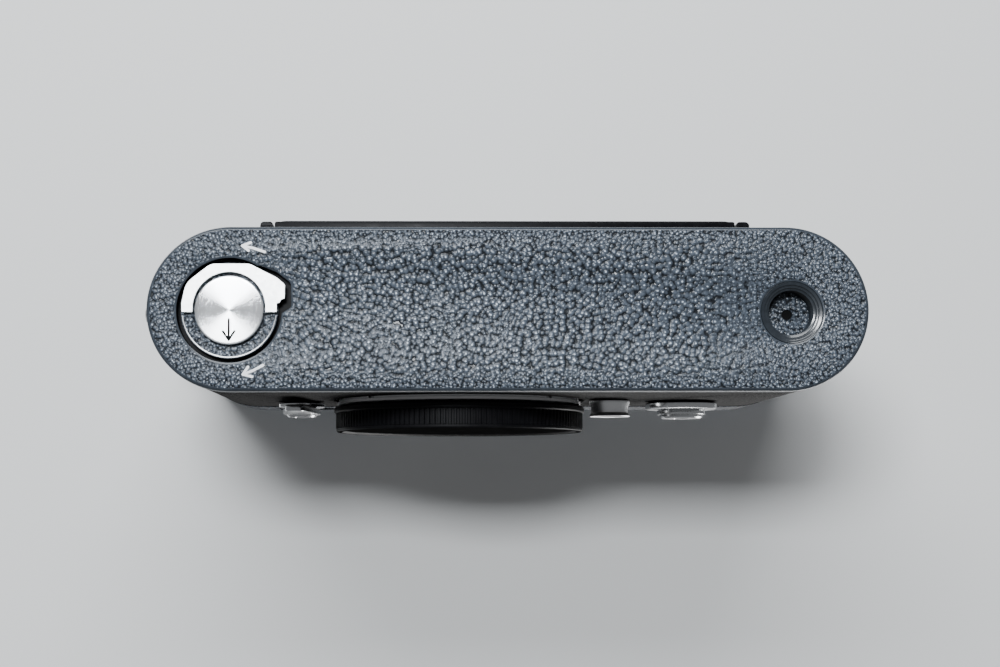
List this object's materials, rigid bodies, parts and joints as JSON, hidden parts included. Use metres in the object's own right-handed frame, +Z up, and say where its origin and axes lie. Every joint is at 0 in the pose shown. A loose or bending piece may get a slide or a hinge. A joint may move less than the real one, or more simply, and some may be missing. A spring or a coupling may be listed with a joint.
{
  "type": "rangefinder film camera",
  "caption": "35 mm rangefinder film camera with a bayonet body cap, hammertone-painted base plate and top cover, a folding lock key and a tripod socket underneath.",
  "frame": {"origin": "centre of the base plate's lower face", "axes": "+Z up to the top cover, -Y towards the lens mount at the front, +X towards the viewer's left hand, the rewind end"},
  "size_m": [0.147, 0.0402, 0.077],
  "materials": {
    "hammertone_paint": "hammertone enamel, semi-gloss",
    "satin_metal": "satin, turned",
    "chrome": "polished to satin",
    "brass": "machined",
    "black_metal": "matt black lacquer",
    "black_plastic": "matt, ribbed grip",
    "covering": "pebbled black covering",
    "cast_alloy": "as cast",
    "curtain_cloth": "rubberised cloth",
    "glass": "polished, coated"
  },
  "bodies": {
    "camera_body": {"body_shell": "black_metal", "body_covering": "covering", "strap_lug_left": "chrome", "strap_lug_right": "chrome", "end_stud": "chrome", "door_hinge_pin": "satin_metal", "mount_ring": "chrome", "mount_screw_1": "satin_metal", "mount_screw_2": "satin_metal", "mount_screw_3": "satin_metal", "mount_screw_4": "satin_metal", "release_guard": "satin_metal", "selector_flange": "chrome", "rewind_release_flange": "chrome", "film_chamber": "cast_alloy", "shutter_crate": "cast_alloy", "film_gate": "black_metal", "first_curtain": "curtain_cloth", "second_curtain": "curtain_cloth", "gear_deck": "brass", "viewfinder_block": "glass", "top_cover": "hammertone_paint", "viewfinder_window": "glass", "illumination_window": "glass", "rangefinder_window": "glass", "eyepiece": "black_metal", "flash_socket_1": "satin_metal", "flash_socket_2": "satin_metal", "accessory_shoe": "chrome", "counter_window": "glass"},
    "base": {"base_plate": "hammertone_paint", "tripod_bush": "hammertone_paint"},
    "lock_key": {"lock_turntable": "hammertone_paint", "lock_knob": "satin_metal", "lock_cam": "brass"},
    "bail": {"lock_bail": "satin_metal"},
    "door": {"back_door": "black_metal", "door_covering": "covering"},
    "door_dial": {"film_speed_dial": "black_plastic"},
    "film_presser": {"pressure_plate": "black_metal"},
    "cap": {"body_cap": "black_plastic"},
    "lens_release": {"lens_release_button": "satin_metal"},
    "selector": {"selector_lever": "chrome"},
    "rewind_release": {"rewind_release_lever": "chrome"},
    "wind_lever": {"advance_lever": "satin_metal", "release_collar": "chrome", "wind_gear": "brass"},
    "release": {"shutter_button": "chrome"},
    "speed_dial": {"shutter_speed_dial": "satin_metal"},
    "counter": {"counter_disc": "black_plastic"},
    "spool": {"takeup_spool": "satin_metal"},
    "sprocket": {"sprocket_shaft": "brass"},
    "drum": {"curtain_drum": "satin_metal"},
    "roller": {"spring_roller": "satin_metal"},
    "rangefinder_follower": {"rangefinder_arm": "brass"},
    "rewind_lift": {"rewind_sleeve": "chrome"},
    "rewind": {"rewind_knob": "satin_metal"}
  },
  "joints": [
    {"name": "base_open", "type": "hinge", "parent": "camera_body", "child": "base", "pos_m": [-0.069, 0, 0.0032], "axis": [0, 1, 0], "range_deg": [0, 30]},
    {"name": "lock_turn", "type": "hinge", "parent": "base", "child": "lock_key", "pos_m": [0.0532, -0.0003, 0.001], "axis": [0, 0, -1], "range_deg": [0, 180]},
    {"name": "bail_flip", "type": "hinge", "parent": "lock_key", "child": "bail", "pos_m": [0.0532, -0.0003, 0.0004], "axis": [-1, 0, 0], "range_deg": [0, 90]},
    {"name": "door_open", "type": "hinge", "parent": "camera_body", "child": "door", "pos_m": [0, 0.01635, 0.0546], "axis": [1, 0, 0], "range_deg": [0, 90]},
    {"name": "film_dial_turn", "type": "hinge", "parent": "door", "child": "door_dial", "pos_m": [0.00045, 0.017, 0.03], "axis": [0, 1, 0], "continuous": true},
    {"name": "pressure_plate_push", "type": "slide", "parent": "door", "child": "film_presser", "axis": [0, 1, 0], "range_m": [0, 0.0008], "stiffness_N_per_m": 400, "springref_m": -0.0005},
    {"name": "cap_twist", "type": "hinge", "parent": "camera_body", "child": "cap", "pos_m": [0.009, -0.018, 0.036], "axis": [0, -1, 0], "range_deg": [0, 60]},
    {"name": "lens_release_push", "type": "slide", "parent": "camera_body", "child": "lens_release", "axis": [0, 1, 0], "range_m": [0, 0.0013], "stiffness_N_per_m": 300, "springref_m": -0.0005},
    {"name": "selector_swing", "type": "hinge", "parent": "camera_body", "child": "selector", "pos_m": [0.0424, -0.018, 0.038], "axis": [0, 1, 0], "range_deg": [-20, 20], "stiffness_Nm_per_rad": 0.01},
    {"name": "rewind_release_turn", "type": "hinge", "parent": "camera_body", "child": "rewind_release", "pos_m": [-0.0383, -0.018, 0.038], "axis": [0, -1, 0], "range_deg": [0, 60]},
    {"name": "advance_stroke", "type": "hinge", "parent": "camera_body", "child": "wind_lever", "pos_m": [-0.04, 0, 0.073], "axis": [0, 0, 1], "range_deg": [0, 145], "stiffness_Nm_per_rad": 0.01, "springref_deg": -17.19},
    {"name": "shutter_press", "type": "slide", "parent": "camera_body", "child": "release", "axis": [0, 0, -1], "range_m": [0, 0.0015], "stiffness_N_per_m": 300, "springref_m": -0.0005},
    {"name": "speed_dial_turn", "type": "hinge", "parent": "camera_body", "child": "speed_dial", "pos_m": [-0.021, 0, 0.074], "axis": [0, 0, 1], "range_deg": [0, 300]},
    {"name": "counter_turn", "type": "hinge", "parent": "camera_body", "child": "counter", "pos_m": [-0.0545, -0.0045, 0.07], "axis": [0, 0, 1], "range_deg": [0, 350]},
    {"name": "spool_turn", "type": "hinge", "parent": "camera_body", "child": "spool", "pos_m": [-0.0532, 0, 0.03], "axis": [0, 0, 1], "range_deg": [-350, 0]},
    {"name": "sprocket_turn", "type": "hinge", "parent": "camera_body", "child": "sprocket", "pos_m": [-0.03, 0.0074, 0.03], "axis": [0, 0, 1], "range_deg": [0, 350]},
    {"name": "drum_turn", "type": "hinge", "parent": "camera_body", "child": "drum", "pos_m": [-0.0166, 0.0024, 0.03], "axis": [0, 0, 1], "range_deg": [0, 350]},
    {"name": "roller_turn", "type": "hinge", "parent": "camera_body", "child": "roller", "pos_m": [0.0352, 0.0024, 0.03], "axis": [0, 0, 1], "range_deg": [0, 350]},
    {"name": "rangefinder_swing", "type": "hinge", "parent": "camera_body", "child": "rangefinder_follower", "pos_m": [0.033, -0.011, 0.059], "axis": [0, 0, -1], "range_deg": [0, 7], "stiffness_Nm_per_rad": 0.02, "springref_deg": -5.73},
    {"name": "rewind_pull", "type": "slide", "parent": "camera_body", "child": "rewind_lift", "axis": [0, 0, 1], "range_m": [0, 0.005]},
    {"name": "rewind_turn", "type": "hinge", "parent": "rewind_lift", "child": "rewind", "pos_m": [0.0532, 0, 0.075], "axis": [0, 0, 1], "continuous": true}
  ],
  "couplings": [
    {"joint": "bail_flip", "follows": "lock_turn", "ratio": 0.5},
    {"joint": "counter_turn", "follows": "advance_stroke", "ratio": 0.062},
    {"joint": "spool_turn", "follows": "advance_stroke", "ratio": -2.4},
    {"joint": "sprocket_turn", "follows": "advance_stroke", "ratio": 2.4},
    {"joint": "drum_turn", "follows": "advance_stroke", "ratio": 2.4},
    {"joint": "roller_turn", "follows": "advance_stroke", "ratio": 2.4}
  ]
}
